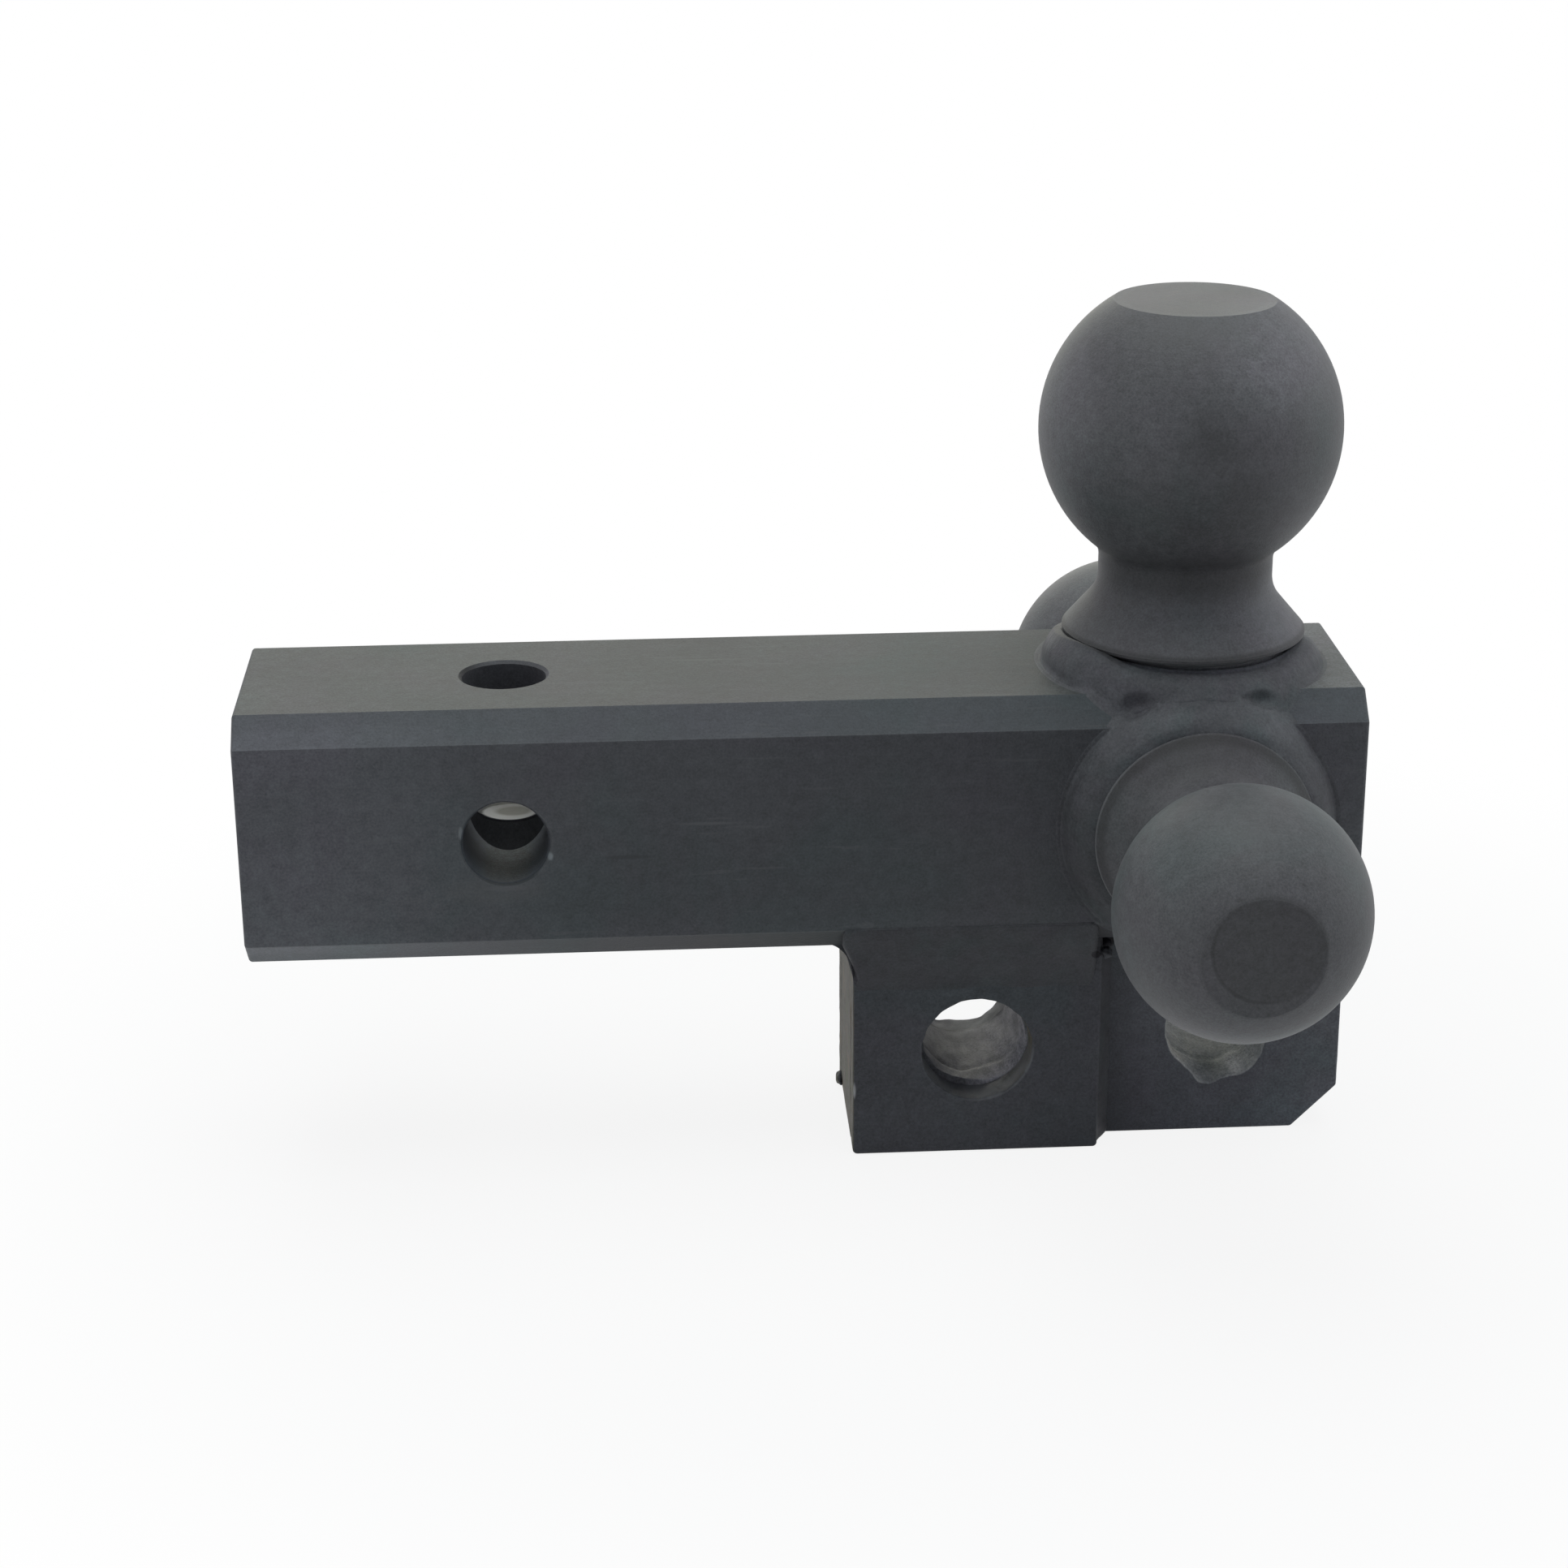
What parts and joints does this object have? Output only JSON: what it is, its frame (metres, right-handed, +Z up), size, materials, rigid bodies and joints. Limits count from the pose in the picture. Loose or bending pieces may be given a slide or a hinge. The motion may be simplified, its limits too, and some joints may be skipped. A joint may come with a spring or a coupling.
{
  "type": "trailer hitch with ball",
  "caption": "Solid square receiver shank with hitch balls of different sizes welded on its top and sides, and a drilled lug welded below.",
  "frame": {"origin": "centre of the two crossed hitch-pin holes, on the shank's own axis", "axes": "+X along the shank towards the balls (rearward on the vehicle), +Y to the right-hand side, along the cross pin hole, +Z up through the top ball"},
  "size_m": [0.2178, 0.178, 0.169],
  "materials": {
    "bar_steel": "matte dark charcoal on blasted rolled steel",
    "ball_steel": "matte dark charcoal on turned steel",
    "plate_steel": "matte dark charcoal on cut plate",
    "weld_metal": "matte dark charcoal over weld beads"
  },
  "bodies": {
    "root": {"shank_bar": "bar_steel", "top_ball": "ball_steel", "left_ball": "ball_steel", "right_ball": "ball_steel", "top_ball_weld": "weld_metal", "left_ball_weld": "weld_metal", "right_ball_weld": "weld_metal", "lug_plate": "plate_steel", "left_cheek_plate": "plate_steel", "right_cheek_plate": "plate_steel", "lug_front_weld": "weld_metal", "lug_rear_weld": "weld_metal", "left_cheek_weld": "weld_metal", "right_cheek_weld": "weld_metal", "left_plate_weld": "weld_metal", "right_plate_weld": "weld_metal", "left_edge_weld": "weld_metal", "right_edge_weld": "weld_metal"}
  },
  "joints": []
}
